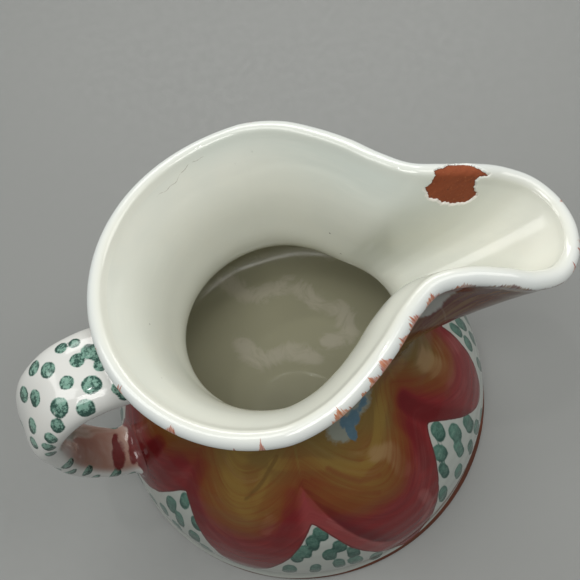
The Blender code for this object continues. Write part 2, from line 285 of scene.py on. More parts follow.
# Single brush strokes, as (field, half width in mm, amount, (azimuth, height), ...). deep is thick dark paint,
# thin lets the white through, gold is yellow laid over the ochre, vein is a fine dark line, and bare leaves
# the white of the flare open.
STROKES = (
    ("thin", 5.5, 0.75, (-160, 54), (-163, 42), (-163, 30)),
    ("deep", 4.0, 0.9, (-152, 56), (-155, 42), (-153, 28)), ("deep", 4.5, 0.5, (-140, 58), (-145, 44)),
    ("gold", 6.0, 0.7, (-118, 76), (-119, 62), (-113, 52)), ("gold", 3.0, 0.6, (-106, 67), (-110, 53)),
    ("vein", 0.9, 0.55, (-101, 74), (-109, 61), (-113, 56)), ("thin", 3.0, 0.8, (-104, 49), (-106.5, 43)),
    ("deep", 4.5, 0.6, (-132, 62), (-133, 50), (-128, 38)),
    ("deep", 4.0, 0.5, (-97, 60), (-99, 47), (-103, 36)), ("thin", 2.0, 0.4, (-118, 14), (-108, 17)),
    ("deep", 2.5, 0.4, (-119, 40), (-114, 25)), ("thin", 3.0, 0.7, (-56, 34), (-55, 25), (-59, 18)),
    ("thin", 2.0, 0.6, (-86, 46), (-79, 34), (-73, 18), (-64, 10)),
    ("deep", 4.0, 0.6, (-47, 66), (-46, 56), (-50, 44)), ("thin", 4.0, 0.9, (-62, 62), (-57, 60), (-57, 50)),
    ("gold", 3.2, 0.9, (-102, 71), (-88, 70), (-78, 66), (-70, 60), (-63, 62), (-55, 70), (-45, 76), (-30, 78)),
    ("deep", 1.8, 0.6, (-81, 66), (-72, 57), (-65, 55)), ("deep", 1.6, 0.5, (-88, 64), (-78, 56), (-68, 49)),
    ("deep", 5.0, 0.9, (-41, 68), (-38, 58), (-33, 46), (-28, 34)), ("thin", 6.0, 0.9, (-20, 67), (-20, 54)),
    ("thin", 5.0, 0.5, (-11, 58), (-8, 48)), ("gold", 6.0, 0.6, (20, 74), (18, 60), (22, 50)),
    ("deep", 4.0, 0.7, (4, 62), (6, 46), (11, 32)), ("thin", 3.0, 0.6, (30, 34), (28, 22)),
    ("vein", 0.9, 0.5, (30, 72), (22, 60), (17, 50)), ("thin", 4.0, 0.8, (66, 64), (62, 52)),
    ("deep", 4.0, 0.7, (48, 62), (51, 46), (56, 32)), ("thin", 2.0, 0.6, (46, 44), (53, 32), (60, 22)),
    ("gold", 3.0, 0.8, (44, 70), (60, 62), (74, 66), (88, 74)),
    ("gold", 6.0, 0.7, (110, 76), (112, 60), (108, 50)), ("deep", 4.5, 0.6, (96, 58), (100, 42), (104, 26)),
    ("thin", 3.0, 0.6, (122, 36), (118, 22)), ("vein", 0.9, 0.5, (120, 72), (112, 58), (106, 48)),
    ("thin", 5.0, 0.7, (158, 62), (156, 50)), ("deep", 4.0, 0.8, (142, 60), (147, 44), (152, 30)),
    ("thin", 2.2, 0.5, (170, 40), (164, 26)), ("bare", 3.2, 1.0, (-40, 121), (-37, 106)),
    ("bare", 1.6, 0.8, (-12, 118), (-14, 108)), ("bare", 2.0, 0.9, (62, 120), (58, 106)),
    ("bare", 2.2, 0.9, (-128, 120), (-126, 104)), ("bare", 1.8, 0.9, (140, 120), (143, 106)),
)

# Green dabs in the white between the petals, on the side that the photograph shows: (azimuth, height, long).
DABS = (
    (-139.5, 33, 1.0), (-134.5, 42, 1.0), (-136, 27, 1.1), (-129.5, 33, 0.8), (-143, 22, 0.9),
    (-138, 16, 1.0), (-131, 20, 1.0), (-127.5, 13, 0.9), (-149, 17, 1.0), (-101.3, 16, 1.1), (-98, 28, 0.9),
    (-95.5, 31, 0.9), (-93.8, 15.5, 1.0), (-92.5, 36, 0.9), (-89.5, 40.5, 0.9), (-88.6, 26.5, 0.9),
    (-86.8, 17, 1.0), (-85, 31, 0.9), (-81.8, 24, 1.0), (-82, 15, 0.9), (-76, 10, 1.0), (-50.2, 20.5, 1.0),
    (-46.3, 32.5, 1.1), (-44, 41, 1.1), (-42, 20.5, 1.0), (-39.5, 48, 0.9), (-37.8, 31, 1.1),
    (-35.5, 38.5, 1.2), (-33.6, 20, 1.1), (-29.5, 31, 1.2), (-27.2, 20, 1.1), (-22, 14.5, 1.0),
    (-4.6, 37, 1.0), (-2, 46, 1.0), (1.8, 40, 1.0), (-8, 24, 1.0), (-0.5, 28, 1.0), (6.5, 27, 1.0),
)
SEEN_DABS = (-150, 8)  # the azimuths over which those dabs run


def scallop(azimuth, meetings, tips):
    """The height of a scalloped line round the body at each azimuth."""
    height = np.zeros_like(azimuth)
    count = len(tips)
    for i, (tip, low, left, right) in enumerate(tips):
        start, start_height = meetings[i]
        end, end_height = meetings[(i + 1) % count]
        end = end if end > start else end + 360
        tip = tip if tip > start else tip + 360
        for lap in (0, 360):
            a = azimuth + lap
            t = np.clip((a - start) / (tip - start), 0, 1)
            down = start_height - (start_height - low) * np.sin(t * pi / 2) ** left
            t = np.clip((end - a) / (end - tip), 0, 1)
            rise = end_height - (end_height - low) * np.sin(t * pi / 2) ** right
            here = (a >= start) & (a < end)
            height = np.where(here, np.where(a < tip, down, rise), height)
    return height


def across(azimuth, up, line, mm_per_degree):
    """Distances from a line round the body, in mm, positive above it."""
    slope = np.gradient(line, axis=1) / np.maximum(np.gradient(azimuth, axis=1), 1e-6) / mm_per_degree
    return (up - line) / np.sqrt(1 + slope**2)


def rest_of_the_dabs():
    """The dabs on the sides away from the listed ones: loose rows, one above another."""
    rng = np.random.default_rng(12)
    dabs = []
    for row, height in enumerate(np.arange(9.5, 52, 10.4)):
        for azimuth in np.arange(SEEN_DABS[1] + 5 + 3.6 * (row % 2), 360 + SEEN_DABS[0] - 3, 7.2):
            shift, lift, long = rng.uniform(-1, 1, 3)
            azimuth = azimuth + 1.3 * shift
            azimuth = azimuth - 360 if azimuth > 180 else azimuth
            place = np.array([[azimuth]])
            if height + 3 < scallop(place, MEETINGS, TIPS)[0, 0]:
                dabs.append((azimuth, height + 1.8 * lift, 1 + 0.15 * long))
    return dabs


def dab_fields(azimuth, up, mm_per_degree):
    """Distance to the nearest dab in mm, and its own tone and which way is up in it."""
    rng = np.random.default_rng(5)
    distance = np.full(azimuth.shape, 9.0)
    tone = np.zeros(azimuth.shape)
    lift = np.zeros(azimuth.shape)
    for place, height, long in list(DABS) + rest_of_the_dabs():
        wide, tall = 2.55 + 0.35 * rng.uniform(-1, 1), (5.0 + 0.6 * rng.uniform(-1, 1)) * long
        lean, shade = rng.uniform(-0.18, 0.18), rng.uniform(0, 1)
        x = (azimuth - place) * mm_per_degree
        y = up - height
        x, y = x + lean * y, y - lean * x
        size = (np.abs(x / wide) ** 2.5 + np.abs(y / tall) ** 2.5) ** 0.4
        here = (size - 1) * wide
        nearer = here < distance
        distance = np.where(nearer, here, distance)
        tone = np.where(nearer, shade, tone)
        lift = np.where(nearer, np.clip(y / tall, -1.5, 1.5), lift)
    return distance, tone, lift


# Ends of strokes that run up over the lip: (azimuth, half width in degrees, mm over the crest they reach).
TUFTS = (
    (-171, 1.5, -0.9), (-164, 2.0, -0.6), (-148, 2.2, 0.7), (-126, 2.2, 0.9), (-106, 1.0, -1.2),
    (-97.5, 0.9, 1.7), (-78, 2.4, 1.0), (-72, 1.2, -0.8), (-68.8, 1.4, 1.3), (-65, 1.6, 2.0),
    (-59, 1.8, 0.2), (-54.5, 2.2, 0.8), (-49, 2.4, 0.3), (-41, 3.0, -1.2), (-30, 6.0, -1.9),
    (-17, 6.0, -2.4), (-11.5, 0.7, 1.2), (-6.7, 0.8, 0.9), (-4.3, 0.8, 0.9), (1.5, 0.6, -0.6),
    (6.8, 0.8, 1.4), (24, 2.0, -1.6), (52, 2.4, -1.8), (71, 1.6, -1.9), (86.5, 4.0, 0.6), (101, 2.0, -1.6),
    (128, 2.2, -1.6), (150, 1.6, -1.8), (164, 2.2, -0.4), (173, 1.4, -1.2),
)


def tuft_field(azimuth, over):
    """How far inside the paint a point of the lip is, in mm. over is mm over the crest, negative outside."""
    uneven = ripple((0.5, np.radians(7 * azimuth)), (0.35, np.radians(17 * azimuth + 40)))
    reach = np.full(azimuth.shape, -5.2) + uneven
    for place, half, top in TUFTS:
        t = np.clip(1 - np.abs(azimuth - place) / (half * 1.5), 0, 1)
        reach = np.maximum(reach, -5.2 + (top + 5.2) * t**0.55 - (t <= 0) * 2)
    return reach - over


# Oval patches of blue, and of the paler wash round them: (azimuth, height, half degrees, half height).
BLUE_DABS = (
    (-67.0, 75.2, 2.1, 4.6), (-63.5, 77.5, 2.6, 2.4), (-58.0, 79.2, 3.2, 1.5), (-68.5, 78.5, 2.4, 2.2),
)
BLUE_WASH = ((-70.5, 77.0, 6.0, 4.2), (-60.0, 79.5, 7.0, 2.4))


def patch_field(azimuth, up, patches):
    """Distance outside a group of oval patches, in mm."""
    distance = np.full(azimuth.shape, 20.0)
    for place, height, half_degrees, half_height in patches:
        size = np.hypot((azimuth - place) / half_degrees, (up - height) / half_height)
        distance = np.minimum(distance, (size - 1) * half_height)
    return distance


def stroke_fields(azimuth, up, mm_per_degree):
    """How much of each kind of brush stroke there is at each point, 0 to 1."""
    fields = {kind: np.zeros(azimuth.shape) for kind in ("deep", "thin", "gold", "vein", "bare")}
    for kind, half_width, amount, *path in STROKES:
        distance = np.full(azimuth.shape, 99.0)
        for (a0, up0), (a1, up1) in zip(path, path[1:]):
            px, py = (azimuth - a0) * mm_per_degree, up - up0
            dx, dy = (a1 - a0) * mm_per_degree, up1 - up0
            t = np.clip((px * dx + py * dy) / (dx * dx + dy * dy), 0, 1)
            distance = np.minimum(distance, np.hypot(px - t * dx, py - t * dy))
        fields[kind] = np.maximum(fields[kind], amount * ease(1.25 - distance / half_width))
    return fields


# The chip in the glaze inside the spout's left flank: its outline as (azimuth, mm over the crest of the lip).
# A helper script worked the points out from points read off the photograph, and three were then adjusted.
CHIP = (
    (39.6, 0.7), (41.2, 2.0), (40.8, 5.8), (41.6, 7.9), (40.4, 10.4), (37.8, 12.0), (34.2, 13.6),
    (30.6, 14.0), (28.0, 13.1), (27.0, 11.1), (29.4, 8.1), (30.6, 6.3), (30.6, 4.0), (27.8, 2.7),
    (30.8, 1.4), (32.6, -1.0), (34.8, -2.0), (36.8, -2.2),
)
CHIP_SCALE = 1.39  # mm of flank a degree


def chip_field(azimuth, over):
    """Distance to the edge of the chip in mm, negative inside it."""
    outline = np.array(CHIP) * (CHIP_SCALE, 1)
    px = azimuth * CHIP_SCALE + ripple((0.22, over * 2.1), (0.12, over * 5.3 + 1), (0.06, over * 11 + azimuth))
    py = over + ripple((0.25, azimuth * 1.9), (0.13, azimuth * 4.7 + 2), (0.06, azimuth * 13 + over))
    distance = np.full(px.shape, 99.0)
    inside = np.zeros(px.shape, bool)
    for (ax, ay), (bx, by) in zip(outline, np.roll(outline, -1, 0)):
        t = np.clip(((px - ax) * (bx - ax) + (py - ay) * (by - ay)) / ((bx - ax) ** 2 + (by - ay) ** 2), 0, 1)
        distance = np.minimum(distance, np.hypot(px - ax - t * (bx - ax), py - ay - t * (by - ay)))
        crosses = (ay > py) != (by > py)
        at = ax + (py - ay) * (bx - ax) / np.where(by == ay, 1, by - ay)
        inside ^= crosses & (px < at)
    return np.where(inside, -distance, distance)


# ---------------------------------------------------------------- materials
class Shader:
    """A node material under construction: short names for the nodes that the glazes and the clay use."""

    def __init__(self, name):
        self.material = bpy.data.materials.new(name)
        self.material.use_nodes = True
        self.tree = self.material.node_tree
        self.surface = self.tree.nodes["Principled BSDF"]

    def node(self, kind, inputs=(), output=0, **settings):
        made = self.tree.nodes.new(kind)
        for key, value in settings.items():
            setattr(made, key, value)
        for socket, value in dict(inputs).items():
            self.plug(made.inputs[socket], value)
        return made.outputs[output]

    def plug(self, socket, value):
        if isinstance(value, bpy.types.NodeSocket):
            self.tree.links.new(value, socket)
        elif isinstance(value, tuple) and len(value) == 3 and len(socket.default_value) == 4:
            socket.default_value = (*value, 1)
        else:
            socket.default_value = value

    def field(self, name, vector=False):
        return self.node("ShaderNodeAttribute", attribute_name=name, output=1 if vector else 2)

    def place(self):
        return self.node("ShaderNodeTexCoord", output=3)

    def stretch(self, vector, scale, shift=(0, 0, 0)):
        return self.node("ShaderNodeMapping", {0: vector, 1: shift, 3: scale})

    def noise(self, vector, scale, detail=3.0, rough=0.55, twist=0.0):
        return self.node("ShaderNodeTexNoise", {"Vector": vector, "Scale": scale, "Detail": detail,
                                                "Roughness": rough, "Distortion": twist})

    def cells(self, vector, scale, feature="F1", chaos=1.0):
        return self.node("ShaderNodeTexVoronoi", {"Vector": vector, "Scale": scale, "Randomness": chaos},
                         feature=feature)

    def math(self, operation, a, b=0.0, c=0.0, clamp=False):
        return self.node("ShaderNodeMath", {0: a, 1: b, 2: c}, operation=operation, use_clamp=clamp)

    def times(self, a, b):
        return self.math("MULTIPLY", a, b)

    def plus(self, a, b, clamp=False):
        return self.math("ADD", a, b, clamp=clamp)

    def minus(self, a, b):
        return self.math("SUBTRACT", a, b)

    def swing(self, value, amount):
        """A value between 0 and 1 turned into one that swings to both sides of zero."""
        return self.times(self.minus(value, 0.5), amount)

    def step(self, value, low, high, start=0.0, end=1.0, smooth=True):
        """start below low, end above high, and smooth between."""
        return self.node("ShaderNodeMapRange", {"Value": value, 1: low, 2: high, 3: start, 4: end},
                         interpolation_type="SMOOTHSTEP" if smooth else "LINEAR")

    def band(self, value, middle, half):
        """1 on a line through a field, falling to 0 at a distance from it."""
        off = self.math("ABSOLUTE", self.math("SUBTRACT", value, middle))
        return self.step(off, 0.0, half, 1.0, 0.0)

    def mix(self, share, a, b, blend="MIX"):
        made = self.tree.nodes.new("ShaderNodeMix")
        made.data_type = "RGBA"
        made.blend_type = blend
        self.plug(made.inputs[0], share)
        self.plug(made.inputs[6], a)
        self.plug(made.inputs[7], b)
        return made.outputs[2]

    def bump(self, height, distance, strength=1.0, normal=None):
        inputs = {"Height": height, "Distance": distance, "Strength": strength}
        if normal is not None:
            inputs["Normal"] = normal
        return self.node("ShaderNodeBump", inputs)

    def finish(self, colour, roughness, normal=None, **fixed):
        self.plug(self.surface.inputs["Base Color"], colour)
        self.plug(self.surface.inputs["Roughness"], roughness)
        if normal is not None:
            self.plug(self.surface.inputs["Normal"], normal)
        for socket, value in fixed.items():
            self.surface.inputs[socket.replace("_", " ")].default_value = value
        return self.material


def glaze_relief(s, place):
    """The faint unevenness of a hand-applied glaze."""
    soft = s.noise(place, 28.0, 2.0, 0.5)
    fine = s.noise(place, 260.0, 2.0, 0.5)
    return s.bump(fine, 0.00002, 0.5, s.bump(soft, 0.00035, 0.5))


def white_glaze(s, place, base, shade, warm):
    """Tin white with drifting tone: thin and greyer, or pooled and warmer."""
    drift = s.noise(place, 16.0, 3.0, 0.55)
    pooling_and_painted_reflection = s.noise(place, 55.0, 4.0, 0.6)
    colour = s.mix(s.step(drift, 0.35, 0.68), base, shade)
    colour = s.mix(s.times(s.step(pooling_and_painted_reflection, 0.45, 0.75), 0.35), colour, warm)
    speck = s.step(s.cells(place, 170.0), 0.045, 0.075, 1.0, 0.0)
    sparse = s.step(s.noise(place, 38.0, 1.0), 0.60, 0.66)
    return s.mix(s.times(s.times(speck, sparse), 0.75), colour, (0.10, 0.08, 0.06))


def chip_edge(s, colour, width):
    """The colour with the pale broken edge of the glaze round the chip, and how broken the glaze is."""
    broken = s.step(s.field("chip"), 0.1, width, 1.0, 0.0)
    pale_rim = s.times(broken, s.step(s.field("over"), 6.0, 11.0, 0.15, 0.8))
    return s.mix(pale_rim, colour, (0.83, 0.79, 0.72)), broken


def inner_glaze_material():
    s = Shader("inner_tin_glaze")
    place = s.place()
    colour = white_glaze(s, place, (0.73, 0.74, 0.66), (0.68, 0.70, 0.63), (0.75, 0.74, 0.64))
    deep = s.step(s.field("over"), 42.0, 90.0)
    # Painted shade: the glaze turns darker and olive deep inside the body, where shade falls.
    colour = s.mix(s.times(deep, 0.93), colour, (0.42, 0.405, 0.280))
    drift = s.swing(s.noise(place, 75.0, 4.0, 0.65, 1.6), 3.4)
    # Painted reflection: pale streaks on the floor inside stand for soft reflections of the light in the glaze.
    pooling_and_painted_reflection = s.times(s.field("pooling_and_painted_reflection"), s.step(s.plus(s.field("pooling_and_painted_reflection"), drift), 0.30, 1.15))
    colour = s.mix(s.times(pooling_and_painted_reflection, 0.60), colour, (0.66, 0.62, 0.52))
    cool = s.field("cool")
    colour = s.mix(s.times(cool, 0.60), colour, (0.53, 0.60, 0.56))
    wipe = s.noise(s.stretch(s.field("flow", True), (0.05, 0.45, 0.05)), 1.0, 3.0, 0.6)
    wiped = s.times(s.step(wipe, 0.5, 0.75), s.minus(1.0, deep))
    colour = s.mix(s.times(wiped, 0.18), colour, (0.78, 0.78, 0.70))
    colour, broken = chip_edge(s, colour, 0.9)
    crack = s.band(s.field("crack"), 0.0, 0.16)
    grain = s.noise(place, 900.0, 2.0)
    crack = s.times(crack, s.times(s.field("crack_here"), s.step(grain, 0.25, 0.6)))
    colour = s.mix(s.times(crack, 0.75), colour, (0.22, 0.17, 0.12))
    rough = s.step(s.noise(place, 70.0, 3.0), 0.3, 0.8, 0.07, 0.17)
    rough = s.plus(rough, s.times(broken, 0.45))
    rough = s.minus(rough, s.times(deep, 0.06))
    rough = s.plus(rough, s.times(s.band(s.field("over"), 124.0, 18.0), 0.25))
    return s.finish(colour, rough, glaze_relief(s, place), Specular_IOR_Level=0.55)


def lip_glaze_material():
    s = Shader("lip_tin_glaze")
    place = s.place()
    colour = white_glaze(s, place, (0.74, 0.77, 0.745), (0.68, 0.72, 0.71), (0.76, 0.77, 0.72))
    inside = s.step(s.field("over"), -1.0, 4.5)
    colour = s.mix(inside, colour, (0.725, 0.735, 0.655))
    cool = s.times(s.field("cool"), inside)
    colour = s.mix(s.times(cool, 0.60), colour, (0.53, 0.60, 0.56))
    colour = paint_ends(s, colour)
    colour, broken = chip_edge(s, colour, 0.8)
    rough = s.step(s.noise(place, 70.0, 3.0), 0.3, 0.8, 0.04, 0.09)
    rough = s.plus(rough, s.times(broken, 0.45))
    return s.finish(colour, rough, glaze_relief(s, place), Specular_IOR_Level=0.6)


def paint_ends(s, colour):
    """The feathered ends of strokes on the lip: the hairs of the brush leave separate lines."""
    flow = s.field("flow", True)
    hairs = s.noise(s.stretch(flow, (1.9, 0.10, 0.0)), 1.0, 3.0, 0.75)
    wide = s.noise(s.stretch(flow, (0.45, 0.05, 0.0)), 1.0, 2.0, 0.5)
    hairy = s.step(s.field("dark"), 0.0, 1.0, 7.5, 3.5)
    inside = s.plus(s.field("tuft"), s.times(s.minus(hairs, 0.56), hairy))
    painted = s.step(inside, -0.1, 0.5)
    tone = s.mix(s.step(wide, 0.42, 0.60), (0.56, 0.17, 0.055), (0.40, 0.075, 0.045))
    tone = s.mix(s.times(s.field("fiery"), 0.7), tone, (0.56, 0.20, 0.045))
    tone = s.mix(s.step(hairs, 0.50, 0.75), tone, (0.30, 0.10, 0.06))
    dark_tone = s.mix(s.step(wide, 0.42, 0.58), (0.130, 0.036, 0.027), (0.25, 0.14, 0.07))
    tone = s.mix(s.field("dark"), tone, dark_tone)
    thin = s.step(hairs, 0.35, 0.6, 0.55, 0.95)
    return s.mix(s.times(painted, thin), colour, tone)


CRIMSON, CRIMSON_DEEP, CRIMSON_THIN = (0.185, 0.017, 0.018), (0.086, 0.006, 0.007), (0.284, 0.090, 0.084)
OCHRE, OLIVE = (0.176, 0.093, 0.022), (0.125, 0.093, 0.026)
TAN, BURNT = (0.267, 0.168, 0.077), (0.150, 0.040, 0.011)


def painted_glaze_material():
    s = Shader("painted_tin_glaze")
    place = s.place()
    flow = s.field("flow", True)
    edge, ochre, fold, up = s.field("edge"), s.field("ochre"), s.field("fold"), s.field("up")
    wobble = s.swing(s.noise(place, 130.0, 2.0), 0.9)
    # Painted shade: the white ground is the lip's tin white set much darker, standing for the shade the body
    # lies in.
    colour = white_glaze(s, place, (0.42, 0.44, 0.40), (0.37, 0.40, 0.37), (0.44, 0.43, 0.38))

    # Green dabs: watery, darker where the brush was lifted and round the rim of the drop.
    ragged_rim = s.swing(s.noise(place, 210.0, 3.0), 1.1)
    dab = s.plus(s.field("dab"), ragged_rim)
    inside = s.step(dab, -0.22, 0.18, 1.0, 0.0)
    mottle = s.noise(place, 420.0, 4.0, 0.75)
    lifted = s.step(s.field("dab_lift"), -0.9, 0.9, 0.55, 0.05)
    depth = s.plus(lifted, s.times(s.field("dab_tone"), 0.35))
    depth = s.plus(depth, s.times(s.band(dab, -0.45, 0.5), 0.25))
    depth = s.plus(depth, s.step(mottle, 0.38, 0.66, -0.20, 0.28), clamp=True)
    green = s.mix(depth, (0.085, 0.195, 0.150), (0.008, 0.052, 0.039))
    colour = s.mix(s.times(inside, s.step(mottle, 0.20, 0.45, 0.72, 0.97)), colour, green)

    # The petals: strokes along their edges, with the hairs of the brush just showing.
    hairs = s.noise(s.stretch(flow, (0.022, 0.42, 0.0)), 1.0, 4.0, 0.62, 0.7)
    broad = s.noise(s.stretch(flow, (0.030, 0.11, 0.0)), 1.0, 3.0, 0.6, 0.6)
    blotch = s.noise(place, 34.0, 3.0, 0.6)
    ragged = s.swing(hairs, 1.3)
    deep = s.step(s.plus(s.field("deep"), ragged), 0.15, 0.95)
    thin = s.step(s.plus(s.field("thin"), ragged), 0.15, 0.95)
    crimson = s.mix(s.step(hairs, 0.30, 0.72), s.mix(0.5, CRIMSON_DEEP, CRIMSON), CRIMSON)
    crimson = s.mix(s.times(s.step(broad, 0.48, 0.78), 0.28), crimson, CRIMSON_THIN)
    crimson = s.mix(s.times(s.step(blotch, 0.50, 0.75), 0.35), crimson, CRIMSON_DEEP)
    crimson = s.mix(s.times(thin, 0.60), crimson, CRIMSON_THIN)
    crimson = s.mix(s.times(deep, 0.70), crimson, CRIMSON_DEEP)
    turned_under = s.times(s.field("folded"), s.step(fold, -0.3, 0.6))
    shadow = s.times(turned_under, s.step(fold, 0.8, 7.0, 0.90, 0.0))
    crimson = s.mix(shadow, crimson, (0.095, 0.005, 0.008))
    outer_stroke = s.times(s.field("folded"), s.step(fold, -0.6, 0.0, 1.0, 0.0))
    crimson = s.mix(s.times(outer_stroke, 0.30), crimson, (0.37, 0.090, 0.088))
    crimson = s.mix(s.times(s.band(edge, 0.35, 0.65), 0.80), crimson, (0.085, 0.014, 0.014))

    flame = s.plus(ochre, s.swing(hairs, 7.0))
    flame = s.plus(flame, s.swing(blotch, 11.0))
    flame = s.minus(flame, s.times(deep, 5.0))
    gold = s.mix(s.step(hairs, 0.30, 0.66), s.mix(0.5, BURNT, OCHRE), OCHRE)
    gold = s.mix(s.times(s.step(broad, 0.52, 0.72), 0.35), gold, TAN)
    drifting = s.swing(blotch, 45.0)
    green_gold = s.step(s.plus(up, drifting), 56.0, 76.0)
    gold = s.mix(s.times(green_gold, 0.65), gold, OLIVE)
    laid_on = s.step(s.plus(s.field("gold"), ragged), 0.15, 0.9)
    gold = s.mix(s.times(laid_on, 0.60), gold, (0.215, 0.138, 0.031))
    gold = s.mix(s.times(thin, 0.75), gold, TAN)
    gold = s.mix(s.times(deep, 0.60), gold, (0.150, 0.045, 0.018))
    vein = s.step(s.plus(s.field("vein"), ragged), 0.1, 0.6)
    gold = s.mix(s.times(vein, 0.70), gold, (0.110, 0.060, 0.016))
    scorched = s.mix(s.step(flame, -5.0, 3.0), crimson, BURNT)
    petals = s.mix(s.step(flame, -1.0, 13.0), scorched, gold)

    # Under the lip and the spout: red-brown strokes that run up the flare.
    rising = s.noise(s.stretch(flow, (0.40, 0.030, 0.0)), 1.0, 4.0, 0.7, 0.3)
    flare = s.mix(s.step(rising, 0.38, 0.64), (0.108, 0.018, 0.013), (0.185, 0.093, 0.034))
    flare = s.mix(s.times(s.step(hairs, 0.60, 0.75), 0.4), flare, (0.28, 0.205, 0.14))
    bare = s.step(s.plus(s.field("bare"), ragged), 0.2, 0.8)
    flare = s.mix(s.times(bare, 0.85), flare, (0.45, 0.47, 0.44))
    high = s.plus(up, s.swing(rising, 30.0))
    petals = s.mix(s.step(high, 88.0, 100.0), petals, flare)
    colour = s.mix(s.step(s.plus(edge, wobble), -0.15, 0.25), colour, petals)

    # A few dabs of blue laid over the neck, in a paler wash.
    rag = s.swing(s.noise(place, 230.0, 4.0, 0.7), 5.5)
    wash = s.step(s.plus(s.field("wash"), rag), -0.5, 1.6, 1.0, 0.0)
    colour = s.mix(s.times(wash, 0.75), colour, (0.20, 0.235, 0.21))
    blue = s.step(s.plus(s.field("blue"), rag), -0.5, 0.5, 1.0, 0.0)
    blue_tone = s.mix(mottle, (0.032, 0.080, 0.130), (0.090, 0.165, 0.205))
    colour = s.mix(s.times(blue, 0.92), colour, blue_tone)

    rough = s.step(hairs, 0.3, 0.7, 0.10, 0.20)
    strokes = s.times(hairs, s.step(edge, 0.0, 1.0, 0.15, 1.0))
    relief = s.bump(strokes, 0.00003, 0.6, glaze_relief(s, place))
    return s.finish(colour, rough, relief, Specular_IOR_Level=0.36)


def clay_material():
    s = Shader("fired_clay")
    place = s.place()
    grain = s.noise(place, 900.0, 4.0, 0.7)
    patch = s.noise(place, 90.0, 3.0, 0.6)
    colour = s.mix(patch, (0.200, 0.045, 0.016), (0.275, 0.072, 0.027))
    colour = s.mix(s.step(grain, 0.55, 0.75), colour, (0.33, 0.115, 0.052))
    grit = s.step(s.cells(place, 620.0), 0.10, 0.20, 1.0, 0.0)
    colour = s.mix(s.times(grit, s.step(patch, 0.5, 0.6)), colour, (0.11, 0.035, 0.022))
    # Painted shade: the clay is darkened all over the foot and just inside the upper edge of the chip.
    painted_shade_amount = s.times(s.field("painted_shade"), s.step(patch, 0.3, 0.6, 0.60, 0.90))
    colour = s.mix(painted_shade_amount, colour, (0.088, 0.031, 0.019))
    relief = s.bump(grain, 0.00012, 0.9, s.bump(patch, 0.00030, 0.6))
    return s.finish(colour, s.step(grain, 0.3, 0.7, 0.70, 0.92), relief, Specular_IOR_Level=0.25)


def handle_material():
    s = Shader("handle_tin_glaze")
    place = s.place()
    colour = white_glaze(s, place, (0.65, 0.655, 0.625), (0.60, 0.61, 0.585), (0.67, 0.65, 0.60))
    # Painted reflection: a pink-brown tint on the inner face of the lower half stands for the petals' crimson
    # reflected in the glaze.
    painted_petal_reflection = s.times(s.field("painted_petal_reflection"), s.step(s.noise(place, 60.0, 3.0), 0.2, 0.6, 0.55, 1.0))
    colour = s.mix(painted_petal_reflection, colour, (0.37, 0.225, 0.175))
    rag = s.swing(s.noise(place, 300.0, 4.0, 0.7), 1.3)
    dot = s.plus(s.field("dot"), rag)
    inside = s.step(dot, -0.25, 0.2, 1.0, 0.0)
    sponge = s.noise(place, 620.0, 3.0, 0.8)
    holes = s.cells(place, 900.0)
    lifted = s.step(s.field("dot_lift"), -0.7, 0.5, 1.0, -0.10)
    depth = s.plus(lifted, s.times(s.field("dot_tone"), 0.25))
    depth = s.plus(depth, s.times(s.band(dot, -0.45, 0.55), 0.40))
    depth = s.plus(depth, s.step(sponge, 0.40, 0.60, -0.55, 0.50), clamp=True)
    green = s.mix(depth, (0.175, 0.330, 0.262), (0.004, 0.050, 0.035))
    pores = s.plus(sponge, s.times(holes, 0.25))
    printed = s.times(inside, s.step(pores, 0.30, 0.52, 0.50, 0.96))
    colour = s.mix(printed, colour, green)
    red = s.step(s.plus(s.field("smear"), s.times(rag, 1.2)), -0.5, 0.4, 1.0, 0.0)
    red_tone = s.mix(sponge, (0.085, 0.010, 0.012), (0.20, 0.034, 0.036))
    colour = s.mix(s.times(red, 0.93), colour, red_tone)
    rough = s.step(s.noise(place, 70.0, 3.0), 0.3, 0.8, 0.07, 0.16)
    return s.finish(colour, rough, glaze_relief(s, place), Specular_IOR_Level=0.55)


# ---------------------------------------------------------------- the wall's pieces
def wheel_marks(azimuth, mm, amount):
    """The spiral left by the potter's fingers, in metres."""
    turn = np.radians(azimuth)
    spiral = np.sin(mm * tau / 6.3 + turn + 0.8 * np.sin(mm / 17))
    return amount * spiral * (0.65 + 0.35 * np.sin(mm / 9.0 + 2 * turn))


def bare_line(azimuth):
    """How far up the wall the bare clay of the foot reaches, in metres: more on the side of the spout."""
    turn = np.radians(azimuth)
    return 0.0018 + 0.0056 * np.exp(-((azimuth + 10) / 58) ** 2) + ripple(
        (0.00025, 3 * turn + 1), (0.00018, 8 * turn), (0.00010, 19 * turn + 2))


